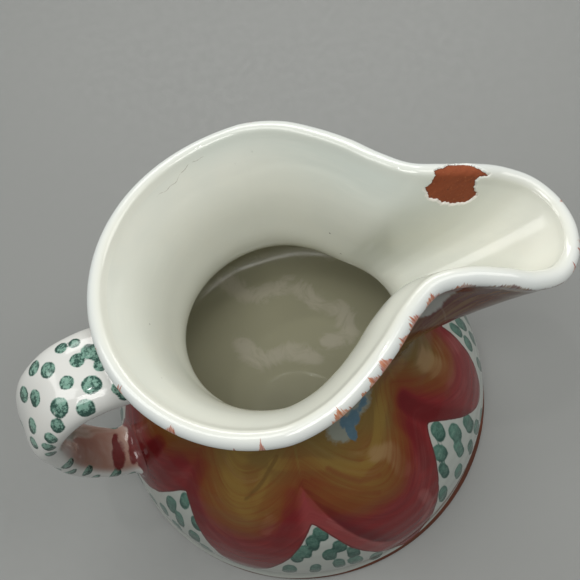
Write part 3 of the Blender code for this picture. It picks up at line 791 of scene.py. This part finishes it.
def make_outer_glaze():
    top = RIM_REACH - (LIP_ROUND - LIP_TOP) - (LIP_OUTSIDE - LIP_TURN)
    azimuth = AZIMUTHS[None, :]
    bottom = bare_line(azimuth)
    share = np.concatenate([[0, 0.0008, 0.0025, 0.0055], np.linspace(0.010, 1, 124)])[:, None]
    reach = bottom + (top - bottom) * share
    curl = np.clip((reach - bottom) / 0.0006, 0, 1)
    thinned = 0.30 + 0.70 * ease((reach - bottom) / 0.009)
    offset = -0.0001 + (COAT * thinned + 0.0001) * np.sqrt(1 - (1 - curl) ** 2)
    up = 1000 * reach
    marks = wheel_marks(azimuth, up, 0.00006)
    offset = offset + marks * ease((reach - bottom) / 0.008) * ease((top - reach) / 0.004)
    points = offset_wall(reach, offset)
    mm_per_degree = 1000 * np.hypot(points[..., 0], points[..., 1]) * pi / 180
    wide = azimuth + 0 * up
    edge_line = scallop(wide, MEETINGS, TIPS)
    edge_line = edge_line + ripple((0.5, np.radians(wide * 9)), (0.3, np.radians(wide * 23)))
    ochre_line = scallop(wide, OCHRE_MEETINGS, OCHRE_TIPS)
    fold_line = scallop(wide, FOLD_MEETINGS, FOLD_TIPS)
    folded = np.zeros(up.shape)
    for i, amount in FOLDED.items():
        tip = TIPS[i][0]
        start = MEETINGS[i][0]
        folded = np.maximum(folded, amount * ease((wide - start + 5) / 4) * ease((tip + 3 - wide) / 15))
    dab, tone, lift = dab_fields(wide, up, mm_per_degree)
    turn = np.radians(wide)
    length = wide * 1.15
    bent = (up - edge_line) * 0.55 + up * 0.45
    fields = {
        "up": up, "edge": across(wide, up, edge_line, mm_per_degree),
        "ochre": across(wide, up, ochre_line, mm_per_degree),
        "fold": across(wide, up, fold_line, mm_per_degree), "folded": folded,
        "dab": dab, "dab_tone": tone, "dab_lift": lift,
        "blue": patch_field(wide, up, BLUE_DABS), "wash": patch_field(wide, up, BLUE_WASH),
        "flow": np.stack([length, bent, 20 * np.sin(turn)], -1),
        "tuft": tuft_field(wide, -LIP_OUTSIDE * 1000 - (top - reach) * 1000),
        **stroke_fields(wide, up, mm_per_degree),
    }
    return grid_piece("painted_glaze_outside", points, painted_glaze_material(), fields), points


def lip_rows():
    outside = np.linspace(-LIP_OUTSIDE, -LIP_TURN, 9)[:-1]
    crest = np.linspace(-LIP_TURN, LIP_TURN, 25)
    return outside, crest


def section_fields(azimuth, over):
    wide = azimuth + 0 * over
    over = over + 0 * azimuth
    crack = across_crack(wide, over)
    return {
        "over": over, "chip": chip_field(wide, over), "tuft": tuft_field(wide, over),
        "dark": ease((wide + 46) / 10) * ease((-12 - wide) / 6),
        "fiery": ease((-66 - wide) / 6) * ease((wide + 84) / 6),
        "flow": np.stack([wide * 0.95, over, 0 * over], -1), "crack": crack[0], "crack_here": crack[1],
        "cool": np.exp(-((wide - 58) / 26) ** 2 - ((over - 9) / 9) ** 2)
        + 0.7 * np.exp(-((wide - 100) / 22) ** 2 - ((over - 5) / 5) ** 2),
    }


def across_crack(azimuth, over):
    """The hair crack inside the far wall: distance from its line in mm, and where the glaze is open."""
    line = 8.0 + 0.115 * (azimuth - 118) + 0.7 * np.sin(azimuth / 3.1) + 0.25 * np.sin(azimuth / 0.9)
    return over - line, ease((azimuth - 104) / 4) * ease((131 - azimuth) / 5)


def section_points():
    """The glazed surface from the lip's outer edge, over the crest, down the inside and across the floor."""
    outside, crest = lip_rows()
    inside_lip = np.linspace(LIP_TURN, LIP_TO_WALL, 56)[1:]
    low = (RIM_REACH - (LIP_ROUND - LIP_TOP) + LIP_TURN) - 0.0150
    inside = np.linspace(LIP_TO_WALL, low, 80)[1:]
    over = np.concatenate([outside, crest, inside_lip, inside])
    points = lip_section(over)
    mm = 1000 * over[:, None]
    azimuth = AZIMUTHS[None, :]
    marks = wheel_marks(azimuth, mm, 0.00005) * ease((mm - 50) / 20)
    points = points + grid_normals(points) * marks[..., None]
    last = points[-1]
    radius = np.hypot(last[:, 0], last[:, 1]).mean()
    height = last[:, 2].mean()
    coving = [(radius + 0.0008, height + 0.004), (radius, height), (radius - 0.0016, height - 0.0052),
              (radius - 0.0062, height - 0.0088), (0.0520, 0.0053), (0.0300, 0.0050), (0.0006, 0.0049)]
    floor = smooth_through(coving, 48)
    floor = floor[floor[:, 1] < height - 1e-4]
    turn = np.radians(AZIMUTHS)
    mm_floor = 1000 * (over[-1] + (0.001 + run_length(floor)))
    out = floor[:, :1]
    rings = np.stack([out * np.cos(turn), out * np.sin(turn), floor[:, 1:] + 0 * turn], -1)
    x, y = rings[..., 0] * 1000, rings[..., 1] * 1000
    uneven = ripple((0.16, x / 5.5 + 1.7 * np.sin(y / 9.3)), (0.14, y / 4.9 + 1.3 * np.sin(x / 7.1 + 1)),
                    (0.020, (x + y) / 2.6 + np.sin(x / 4.0)))
    rings[..., 2] += 0.001 * uneven * ease(out / 0.010) + wheel_marks(azimuth, mm_floor[:, None], 0.00001)
    return np.concatenate([points, rings]), np.concatenate([mm, mm_floor[:, None]])


# Painted reflections: pale streaks on the floor inside, standing for soft reflections of the light, each a line
# through (x, y) in mm.
PAINTED_FLOOR_REFLECTIONS = (
    ((-24.8, 55.6), (-13.1, 46.9), (4.4, 48.0), (14.3, 36.4), (23.4, 31.1), (21.4, 18.5), (14.5, 18.5)),
    ((-22.0, 26.0), (-16.0, 16.7), (-3.0, 17.3), (7.7, 13.7)),
)


def painted_reflection_field(points):
    """How much painted reflection lies on the floor inside, 0 to 1."""
    x, y = 1000 * points[..., 0], 1000 * points[..., 1]
    distance = np.full(x.shape, 99.0)
    for line in PAINTED_FLOOR_REFLECTIONS:
        for bend_x, bend_y in smooth_through(line, 60):
            distance = np.minimum(distance, np.hypot(x - bend_x, y - bend_y))
    return ease(1.2 - distance / 7.0) * (points[..., 2] < 0.012)


def make_inside_and_lip(clay):
    points, over = section_points()
    normals = grid_normals(points)
    azimuth = AZIMUTHS[None, :]
    fields = section_fields(azimuth, over)
    fields["pooling_and_painted_reflection"] = painted_reflection_field(points)
    chip = fields["chip"]
    sink = ease((0.12 - chip) / 0.30)
    broken = points - normals * (0.00075 * sink + 0.00005 * sink * np.sin(azimuth * 9 + over * 3))[..., None]
    split = int(np.argmin(np.abs(over[:, 0] - 1000 * LIP_INSIDE)))
    kept = chip > -0.45
    lip_top, inside = slice(0, split + 1), slice(split, None)
    pieces = []
    for name, rows, material in (
        ("lip_glaze_rolled", lip_top, lip_glaze_material()),
        ("cream_glaze_inside", inside, inner_glaze_material()),
    ):
        part = {key: values[rows] for key, values in fields.items()}
        floor = rows.stop is None
        pieces.append(grid_piece(name, broken[rows], material, part, keep=kept[rows], last_fan=floor))
    cols = (AZIMUTHS > CHIP_SPAN[0] - 1.5) & (AZIMUTHS < CHIP_SPAN[1] + 1)
    rows = over[:, 0] < 18
    clay_points = (points - normals * 0.00052)[rows]
    rough = 0.00003 * ripple(
        (1, azimuth * 5.1 + over * 1.3 + np.sin(over * 1.9)), (1, azimuth * 2.3 - over * 1.9 + 1),
        (0.8, azimuth * 9.7 + over * 2.6 + 2 * np.sin(azimuth * 1.7)), (0.6, azimuth * 14 - over * 2.9))
    clay_points = clay_points + normals[rows] * rough[rows][..., None]
    keep = (chip[rows] < 0.5) & cols[None, :]
    # Painted shadow: the clay darkens just inside the chip's edge along its upper part, where the glaze's
    # broken edge shades it.
    shaded_rim = ease(1 + chip[rows] / 0.55) * ease((11.5 - over[rows]) / 3)
    pieces.append(grid_piece("chip_bare_clay", clay_points, clay, {"painted_shade": shaded_rim}, keep=keep))
    crest = int(np.argmin(np.abs(over[:, 0])))
    return *pieces, points[:crest]


def make_foot(clay):
    turn = np.radians(AZIMUTHS)
    radii = np.concatenate([np.linspace(0.003, 0.072, 24), [PROFILE[0, 0] - 0.0008]])
    out = radii[:, None]
    under = np.stack([out * np.cos(turn), out * np.sin(turn), 0 * out + 0 * turn], -1)
    steps = np.concatenate([np.linspace(0, 0.0012, 6), np.linspace(0.0018, 0.0095, 14)])
    reach = steps[:, None] + 0 * AZIMUTHS[None, :]
    wall = wall_grid(AZIMUTHS, reach)
    wall[..., 2] = np.maximum(wall[..., 2], 0)
    points = np.concatenate([under, wall])
    # The bare clay of the foot is painted darker all over, as painted shade low at the base; the break inside
    # the spout gets it only along the upper rim of the chip.
    return grid_piece("foot_bare_clay", points, clay, {"painted_shade": np.ones(points.shape[:2])}, first_fan=True)


# ---------------------------------------------------------------- the handle
HANDLE_AZIMUTH = 198.0
STRAP_WIDTH = 0.0250
STRAP_THICKNESS = 0.0108
# The middle line of the strap: distance from the axis, height, and share of the full width. A helper script
# fitted it to the photograph, and it was then adjusted.
HANDLE = (
    (0.0480, 0.1015, 1.10), (0.0596, 0.1054, 1.07), (0.0693, 0.1053, 1.03), (0.0776, 0.0995, 1.00),
    (0.0832, 0.0895, 0.95), (0.0842, 0.0765, 0.89), (0.0832, 0.0625, 0.82), (0.0796, 0.0490, 0.76),
    (0.0738, 0.0385, 0.72), (0.0660, 0.0300, 0.70),
)
ROUND_COUNT = 88
HALF_ROWS = 74  # rows of the strap between its middle and each blend into the wall
RUN_ON = 34  # steps by which the strap's line is run on into the wall
# Sponged dots, as (percent of the strap's length from its upper end, degrees round it from the middle of its
# outer face, radius in mm). A helper script worked them out from points read off the photograph, and they
# were then adjusted.
DOTS = (
    (15.5, 42, 2.3), (11.8, 36, 2.2), (10.9, 9, 2.6), (7.4, 14, 2.9), (5.0, -5, 2.4), (18.4, 16, 2.9),
    (14.9, -9, 2.6), (10.3, -26, 3.3), (7.6, -46, 2.1), (9.4, -62, 2.0), (23.4, 37, 3.0), (28.9, 17, 2.9),
    (25.0, 0, 2.8), (20.1, -33, 3.2), (17.6, -57, 2.9), (30.8, -21, 2.6), (25.7, -57, 2.6), (36.0, -38, 2.5),
    (30.6, -67, 2.4), (34.6, -75, 2.3), (39.0, -84, 2.0), (41.0, 6, 2.7),
)


def strap_surface():
    """The glazed strap, run on into the wall at both ends: points (along, round, 3) and its middle line."""
    given = np.array(HANDLE)
    line = smooth_through(given[:, :2], 260)
    length = run_length(line)
    at = [length[np.argmin(np.linalg.norm(line - point, axis=1))] for point in given[:, :2]]
    width = np.interp(length, at, given[:, 2])
    first, last = line[1] - line[0], line[-1] - line[-2]
    ahead = np.arange(RUN_ON, 0, -1)[:, None]
    # The upper end runs on level and the lower one straight.
    level = np.hstack([ahead, 8 * (1 - np.exp(-ahead / 8))])
    line = np.vstack([line[0] - first * level, line, line[-1] + last * ahead[::-1]])
    width = np.concatenate([np.full(RUN_ON, width[0]), width, np.full(RUN_ON, width[-1])])
    tangent = unit(np.gradient(line, axis=0))
    out = np.stack([-tangent[:, 1], tangent[:, 0]], -1)
    turn = np.arange(ROUND_COUNT) * tau / ROUND_COUNT
    face = np.sign(np.cos(turn)) * np.abs(np.cos(turn)) ** 0.85
    edge = np.sign(np.sin(turn)) * np.abs(np.sin(turn)) ** 0.85
    along_mm = 1000 * run_length(line)[:, None]
    uneven = 0.00022 * (np.sin(along_mm / 9.0 + 2 * turn) + 0.6 * np.sin(along_mm / 5.2 - 3 * turn + 1))
    half_thick = STRAP_THICKNESS * width[:, None] / 2 + COAT + uneven
    half_wide = STRAP_WIDTH * width[:, None] / 2 + COAT + uneven
    # The potter's fingers leave a shallow channel down the outer face.
    channel = 0.00055 * np.exp(-((edge / 0.42) ** 2)) * (face > 0)
    plane = line[:, None, :] + out[:, None, :] * ((half_thick - channel) * face)[..., None]
    side = -half_wide * edge
    a = radians(HANDLE_AZIMUTH)
    x = plane[..., 0] * cos(a) - side * sin(a)
    y = plane[..., 0] * sin(a) + side * cos(a)
    points = np.stack([x, y, plane[..., 1]], -1)
    middle = np.stack([line[:, 0] * cos(a), line[:, 0] * sin(a), line[:, 1]], -1)
    return points, middle, turn


def skin_tree(*grids):
    """A search tree of the wall's outer skin."""
    vertices, faces = [], []
    for grid in grids:
        faces += (grid_faces(*grid.shape[:2]) + len(vertices)).tolist()
        vertices += grid.reshape(-1, 3).tolist()
    return BVHTree.FromPolygons(vertices, faces)


def blended_end(column, outwards, skin, reach):
    """Where one line down the strap runs into the wall: where to stop it, and the curve from there onto the
    skin. column runs from the middle of the strap towards the wall."""
    depth = []
    for point in column:
        near, normal, _, _ = skin.find_nearest(Vector(point))
        depth.append((Vector(point) - near).dot(normal))
    depth = np.array(depth)
    i = int(np.argmax(depth < 0))
    share = depth[i - 1] / (depth[i - 1] - depth[i])
    crossing = column[i - 1] + (column[i] - column[i - 1]) * share
    length = run_length(column[:i + 1])
    stop = length[i - 1] + (length[i] - length[i - 1]) * share - reach
    start = at_lengths(column[:i + 1], stop)
    near, normal, _, _ = skin.find_nearest(Vector(crossing))
    away = Vector(outwards[i])
    away = (away - normal * away.dot(normal)).normalized()
    end, normal, _, _ = skin.find_nearest(Vector(crossing) + away * reach * 0.95)
    end = np.array(end - normal * 0.00012)
    t = np.linspace(0, 1, 15)[1:, None]
    return stop, (1 - t) ** 2 * start + 2 * t * (1 - t) * crossing + t ** 2 * end


def handle_grid(skin):
    points, middle, turn = strap_surface()
    half = len(points) // 2
    outwards = points - middle[:, None, :]
    face = np.cos(turn)
    columns = []
    for j in range(ROUND_COUNT):
        upper_reach = 0.0042 + 0.0030 * max(0, -face[j])
        lower_reach = 0.0040 + 0.0025 * max(0, -face[j]) + 0.0008 * max(0, face[j])
        down, upward = points[half:, j], points[half::-1, j]
        lower_stop, lower = blended_end(down, outwards[half:, j], skin, lower_reach)
        upper_stop, upper = blended_end(upward, outwards[half::-1, j], skin, upper_reach)
        upper_line = at_lengths(upward, np.linspace(0, upper_stop, HALF_ROWS))
        lower_line = at_lengths(down, np.linspace(0, lower_stop, HALF_ROWS))
        columns.append(np.vstack([upper[::-1], upper_line[::-1], lower_line[1:], lower]))
    return np.stack(columns, 1), turn


def all_dots():
    """The listed dots, and by rule the ones on the sides away from them."""
    rng = np.random.default_rng(9)
    dots = list(DOTS)
    for row, place in enumerate(np.arange(8, 94, 7.5)):
        for turn in np.arange(20 + 24 * (row % 2), 380, 48):
            turn = (turn + 180) % 360 - 180 + rng.uniform(-6, 6)
            shift = place + rng.uniform(-1.5, 1.5)
            near = [abs(shift - a) * 1.15 + abs((turn - t + 180) % 360 - 180) * 0.19 for a, t, _ in DOTS]
            if min(near, default=99) > 11 and abs(turn) < 118:
                dots.append((shift, turn, rng.uniform(2.3, 2.9)))
    return dots


def dot_fields(grid):
    """Distance to the edge of the nearest dot in mm, its tone, and which way is up in it."""
    normals = grid_normals(grid)
    rng = np.random.default_rng(3)
    rows = len(grid)
    distance = np.full(grid.shape[:2], 9.0)
    tone, lift = np.zeros(grid.shape[:2]), np.zeros(grid.shape[:2])
    for place, angle, size in all_dots():
        row = place / 100 * (rows - 1)
        column = int(round((angle % 360) / 360 * ROUND_COUNT)) % ROUND_COUNT
        low = int(np.clip(row, 0, rows - 2))
        centre = grid[low, column] + (grid[low + 1, column] - grid[low, column]) * (row - low)
        normal = normals[low, column]
        long, wide = size * rng.uniform(0.95, 1.15), size * rng.uniform(0.88, 1.02)
        shade = rng.uniform(0, 1)
        apart = (grid - centre) * 1000
        height = apart[..., 2]
        squared = (apart ** 2).sum(-1) * (size / wide) ** 2 + height ** 2 * ((size / long) ** 2 - 1)
        stretched = np.sqrt(np.maximum(squared, 0))
        here = np.where((normals @ normal) > -0.1, stretched - size, 9.0)
        nearer = here < distance
        distance = np.where(nearer, here, distance)
        tone = np.where(nearer, shade, tone)
        lift = np.where(nearer, np.clip(height / size, -1.3, 1.3), lift)
    return distance, tone, lift


# Red brush marks on the strap: percent along it, degrees round it, half sizes in both, and slant.
SMEARS = ((88.3, -152, 3.6, 36, -0.083), (89.8, -184, 1.6, 26, -0.083), (95.0, -162, 1.5, 34, -0.05))


def make_handle(skin):
    grid, turn = handle_grid(skin)
    dot, tone, lift = dot_fields(grid)
    share = np.linspace(0, 1, len(grid))[:, None]
    smear = np.full(grid.shape[:2], 20.0)
    for place, angle, half_length, half_turn, slant in SMEARS:
        round_it = (np.degrees(turn) - angle + 180) % 360 - 180
        size = np.hypot((100 * share - place - slant * round_it) / half_length, round_it / half_turn)
        smear = np.minimum(smear, (size - 1) * 2.5)
    # Painted reflection: the petals' crimson tinted onto the inner face of the lower half, standing for their
    # reflection in the glaze.
    painted_petal_reflection = ease((share - 0.42) / 0.2) * ease((1.0 - share) / 0.06) * ease((-0.15 - np.cos(turn)) / 0.5)
    smear = np.minimum(smear, (0.956 - share + 0.006 * np.sin(3 * turn) + 0.004 * np.sin(7 * turn + 1)) * 90)
    fields = {"dot": dot, "dot_tone": tone, "dot_lift": lift, "smear": smear, "painted_petal_reflection": painted_petal_reflection}
    return grid_piece("glazed_strap_handle", grid, handle_material(), fields)


# ---------------------------------------------------------------- everything in its place
clay = clay_material()
outside, outside_points = make_outer_glaze()
lip, inside, chip_clay, lip_points = make_inside_and_lip(clay)
foot = make_foot(clay)
handle = make_handle(skin_tree(outside_points, lip_points))

for piece, slot, nodes in (
    (outside, "painted_tin_glaze", ("outer_glaze",)),
    (lip, "lip_tin_glaze", ("lip_glaze",)),
    (inside, "inner_tin_glaze", ("inner_glaze",)),
    (handle, "handle_tin_glaze", ("handle_glaze", "handle_strap", "upper_handle_joint", "lower_handle_joint")),
    (foot, "fired_clay", ("clay_body",)),
    (chip_clay, "fired_clay", ()),
):
    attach(piece, "root")
    if nodes:
        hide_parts(*nodes)


def floor_material():
    s = Shader("counter")
    place = s.place()
    soft = s.noise(place, 3.0, 3.0)
    fine = s.noise(place, 240.0, 3.0)
    colour = s.mix(soft, (0.222, 0.230, 0.223), (0.250, 0.256, 0.247))
    rough = s.step(fine, 0.3, 0.7, 0.42, 0.52)
    return s.finish(colour, rough, s.bump(fine, 0.00004, 0.3), Specular_IOR_Level=0.4)


def make_floor():
    mesh = bpy.data.meshes.new("counter_top")
    side = 1.6
    corners = [(-side, -side, 0), (side, -side, 0), (side, side, 0), (-side, side, 0)]
    mesh.from_pydata(corners, [], [(0, 1, 2, 3)])
    mesh.materials.append(floor_material())
    floor = bpy.data.objects.new("counter_top", mesh)
    bpy.context.scene.collection.objects.link(floor)


def area_light(name, place, target, size, power, colour):
    data = bpy.data.lights.new(name, "AREA")
    data.shape = "RECTANGLE"
    data.size, data.size_y = size
    data.energy = power
    data.color = colour
    lamp = bpy.data.objects.new(name, data)
    bpy.context.scene.collection.objects.link(lamp)
    lamp.location = place
    lamp.rotation_euler = (Vector(target) - Vector(place)).to_track_quat("-Z", "Y").to_euler()


make_floor()
area_light("ceiling", (0.0, -0.42, 1.20), (0, 0, 0.08), (0.7, 0.5), 6.5, (1.0, 0.99, 0.96))
area_light("back_panel", (0.05, 0.90, 0.85), (0, 0, 0.08), (1.1, 0.4), 6.0, (1.0, 0.99, 0.96))
area_light("left_panel", (-0.75, 0.10, 1.10), (0, 0, 0.08), (0.5, 0.8), 4.0, (1.0, 0.99, 0.97))
area_light("right_panel", (0.85, 0.05, 0.95), (0, 0, 0.08), (0.5, 1.0), 4.2, (1.0, 0.98, 0.95))
area_light("small_lamp", (-0.10, 0.06, 1.25), (0, 0, 0.10), (0.04, 0.04), 0.6, (1.0, 0.99, 0.97))
world = bpy.data.worlds.new("pale_room")
world.use_nodes = True
world.node_tree.nodes["Background"].inputs["Color"].default_value = (0.93, 0.97, 1.0, 1)
world.node_tree.nodes["Background"].inputs["Strength"].default_value = 0.17
bpy.context.scene.world = world

# The camera looks down steeply from the front, tilted to its left.
camera_data = bpy.data.cameras.new("camera")
camera_data.lens = 52.76
camera_data.sensor_width = 36.0
camera = bpy.data.objects.new("camera", camera_data)
pitch, roll, around = radians(63.55), radians(-15.67), radians(5.5)
forward = Vector((0, cos(pitch), -sin(pitch)))
sideways = Vector((1, 0, 0))
above = sideways.cross(forward)
right = sideways * cos(roll) + above * sin(roll)
above = above * cos(roll) - sideways * sin(roll)
turned = Matrix.Rotation(around, 4, "Z")
pose = Matrix((right, above, -forward)).transposed().to_4x4()
pose.translation = Vector((0.091, -1.616, 4.540)) * BODY_RADIUS
camera.matrix_world = turned @ pose
bpy.context.scene.collection.objects.link(camera)
bpy.context.scene.camera = camera
bpy.context.scene.view_settings.view_transform = "Standard"
